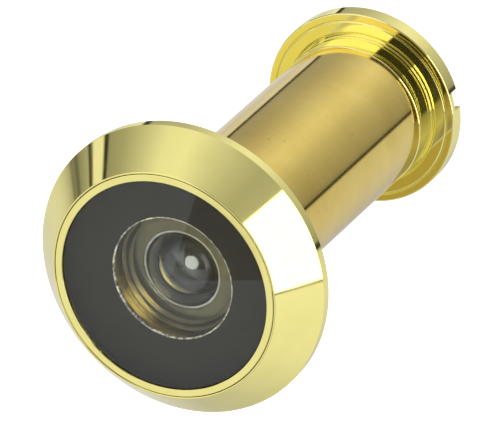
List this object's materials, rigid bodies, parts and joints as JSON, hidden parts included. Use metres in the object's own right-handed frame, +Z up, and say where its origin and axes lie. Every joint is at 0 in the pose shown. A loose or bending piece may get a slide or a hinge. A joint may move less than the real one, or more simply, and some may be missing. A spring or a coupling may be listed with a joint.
{
  "type": "door viewer",
  "caption": "Wide-angle door viewer: bevelled brass head with threaded lens tube, and an interior sleeve with a coin-slotted flange that screws over it to clamp the door leaf.",
  "frame": {"origin": "centre of the door's hole in the plane of the leaf's outer face, where the exterior head seats", "axes": "+Y along the viewing axis from the street into the room, +Z up, +X to the left of someone looking out through the viewer"},
  "size_m": [0.0272, 0.0422, 0.0272],
  "materials": {
    "housing_brass": "mirror polished",
    "bezel_brass": "mirror polished",
    "objective_glass": "polished clear optical glass",
    "mask_black": "semi-gloss black",
    "second_glass": "polished clear optical glass",
    "spacer_black": "semi-gloss black",
    "third_glass": "polished clear optical glass",
    "retainer_brass": "satin turned, fine marks round the axis",
    "sleeve_brass": "satin turned, fine marks round the axis",
    "flange_brass": "mirror polished",
    "stop_black": "semi-gloss black",
    "eyepiece_glass": "polished clear optical glass",
    "eyepiece_ring_brass": "mirror polished"
  },
  "bodies": {
    "outer_assembly": {"front_housing": "housing_brass", "lens_bezel": "bezel_brass", "objective_lens": "objective_glass", "mask_ring": "mask_black", "second_lens": "second_glass", "lens_spacer": "spacer_black", "third_lens": "third_glass", "lens_retainer": "retainer_brass"},
    "eyepiece_unit": {"eyepiece_lens": "eyepiece_glass", "field_stop": "stop_black"},
    "inner_assembly": {"rear_sleeve": "sleeve_brass", "rear_flange": "flange_brass", "eyepiece_retainer": "eyepiece_ring_brass"}
  },
  "joints": [
    {"name": "rear_travel", "type": "slide", "parent": "outer_assembly", "child": "eyepiece_unit", "axis": [0, 1, 0], "range_m": [-0.0008, 0.0242]},
    {"name": "rear_turn", "type": "hinge", "parent": "eyepiece_unit", "child": "inner_assembly", "pos_m": [0, 0.0358, 0], "axis": [0, 1, 0], "range_deg": [-288.01, 8712.01]}
  ],
  "couplings": [
    {"joint": "rear_turn", "follows": "rear_travel", "rad_per_m": 6283.2}
  ]
}
